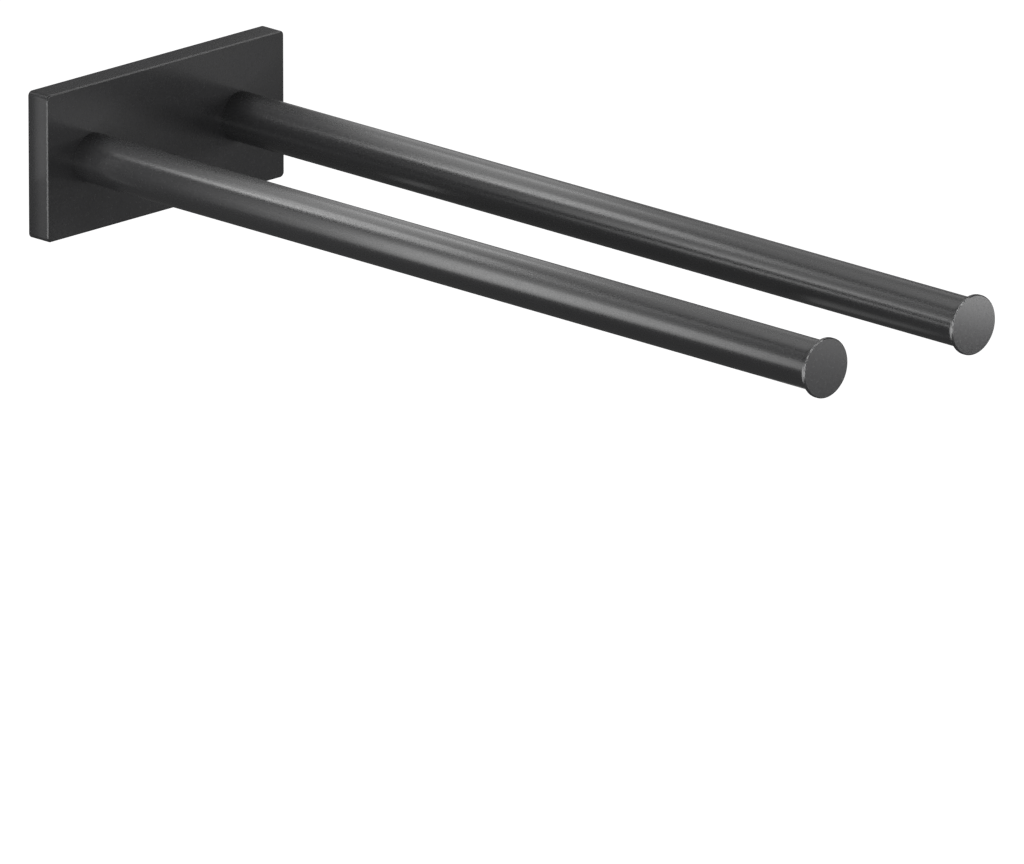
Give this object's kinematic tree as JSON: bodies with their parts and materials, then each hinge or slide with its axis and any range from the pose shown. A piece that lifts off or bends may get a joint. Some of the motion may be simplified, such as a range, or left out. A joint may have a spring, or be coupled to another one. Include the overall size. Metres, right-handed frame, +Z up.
{
  "type": "towel holder",
  "caption": "Wall-mounted towel holder: a flat rectangular cover plate on a hidden bracket, with parallel rigid round arms that end in thin flanged caps.",
  "frame": {"origin": "centre of the bracket's face on the wall, level with the arms' axes and midway between them", "axes": "+X out of the wall along the arms, +Y along the plate to the right as seen by someone who faces the wall, +Z up"},
  "size_m": [0.453, 0.13, 0.06],
  "materials": {
    "black_finish": "matte black powder coat with a fine, even grain",
    "bracket_steel": "folded stainless sheet with a fine brushed grain",
    "plated_steel": "bright zinc-plated steel",
    "clamp_screw_steel": "dark burnished steel",
    "plug_brass": "turned brass",
    "ring_rubber": "black nitrile rubber"
  },
  "bodies": {
    "bracket": {"wall_bracket": "bracket_steel", "wall_screw_left": "plated_steel", "wall_screw_right": "plated_steel", "screw_washer_left": "plated_steel", "screw_washer_right": "plated_steel"},
    "holder": {"cover_plate": "black_finish", "arm_tube_left": "black_finish", "root_plug_left": "plug_brass", "arm_bolt_left": "plated_steel", "lock_washer_left": "plated_steel", "locating_pin_left": "plated_steel", "end_cap_left": "black_finish", "cap_ring_left": "ring_rubber", "arm_tube_right": "black_finish", "root_plug_right": "plug_brass", "arm_bolt_right": "plated_steel", "lock_washer_right": "plated_steel", "locating_pin_right": "plated_steel", "end_cap_right": "black_finish", "cap_ring_right": "ring_rubber"},
    "clamp_left": {"clamp_screw_left": "clamp_screw_steel"},
    "clamp_right": {"clamp_screw_right": "clamp_screw_steel"}
  },
  "joints": [
    {"name": "holder_release", "type": "slide", "parent": "bracket", "child": "holder", "axis": [1, 0, 0], "range_m": [0, 0.02]},
    {"name": "clamp_left_travel", "type": "slide", "parent": "holder", "child": "clamp_left", "axis": [0, 0, -1], "range_m": [0, 0.003]},
    {"name": "clamp_right_travel", "type": "slide", "parent": "holder", "child": "clamp_right", "axis": [0, 0, -1], "range_m": [0, 0.003]}
  ]
}
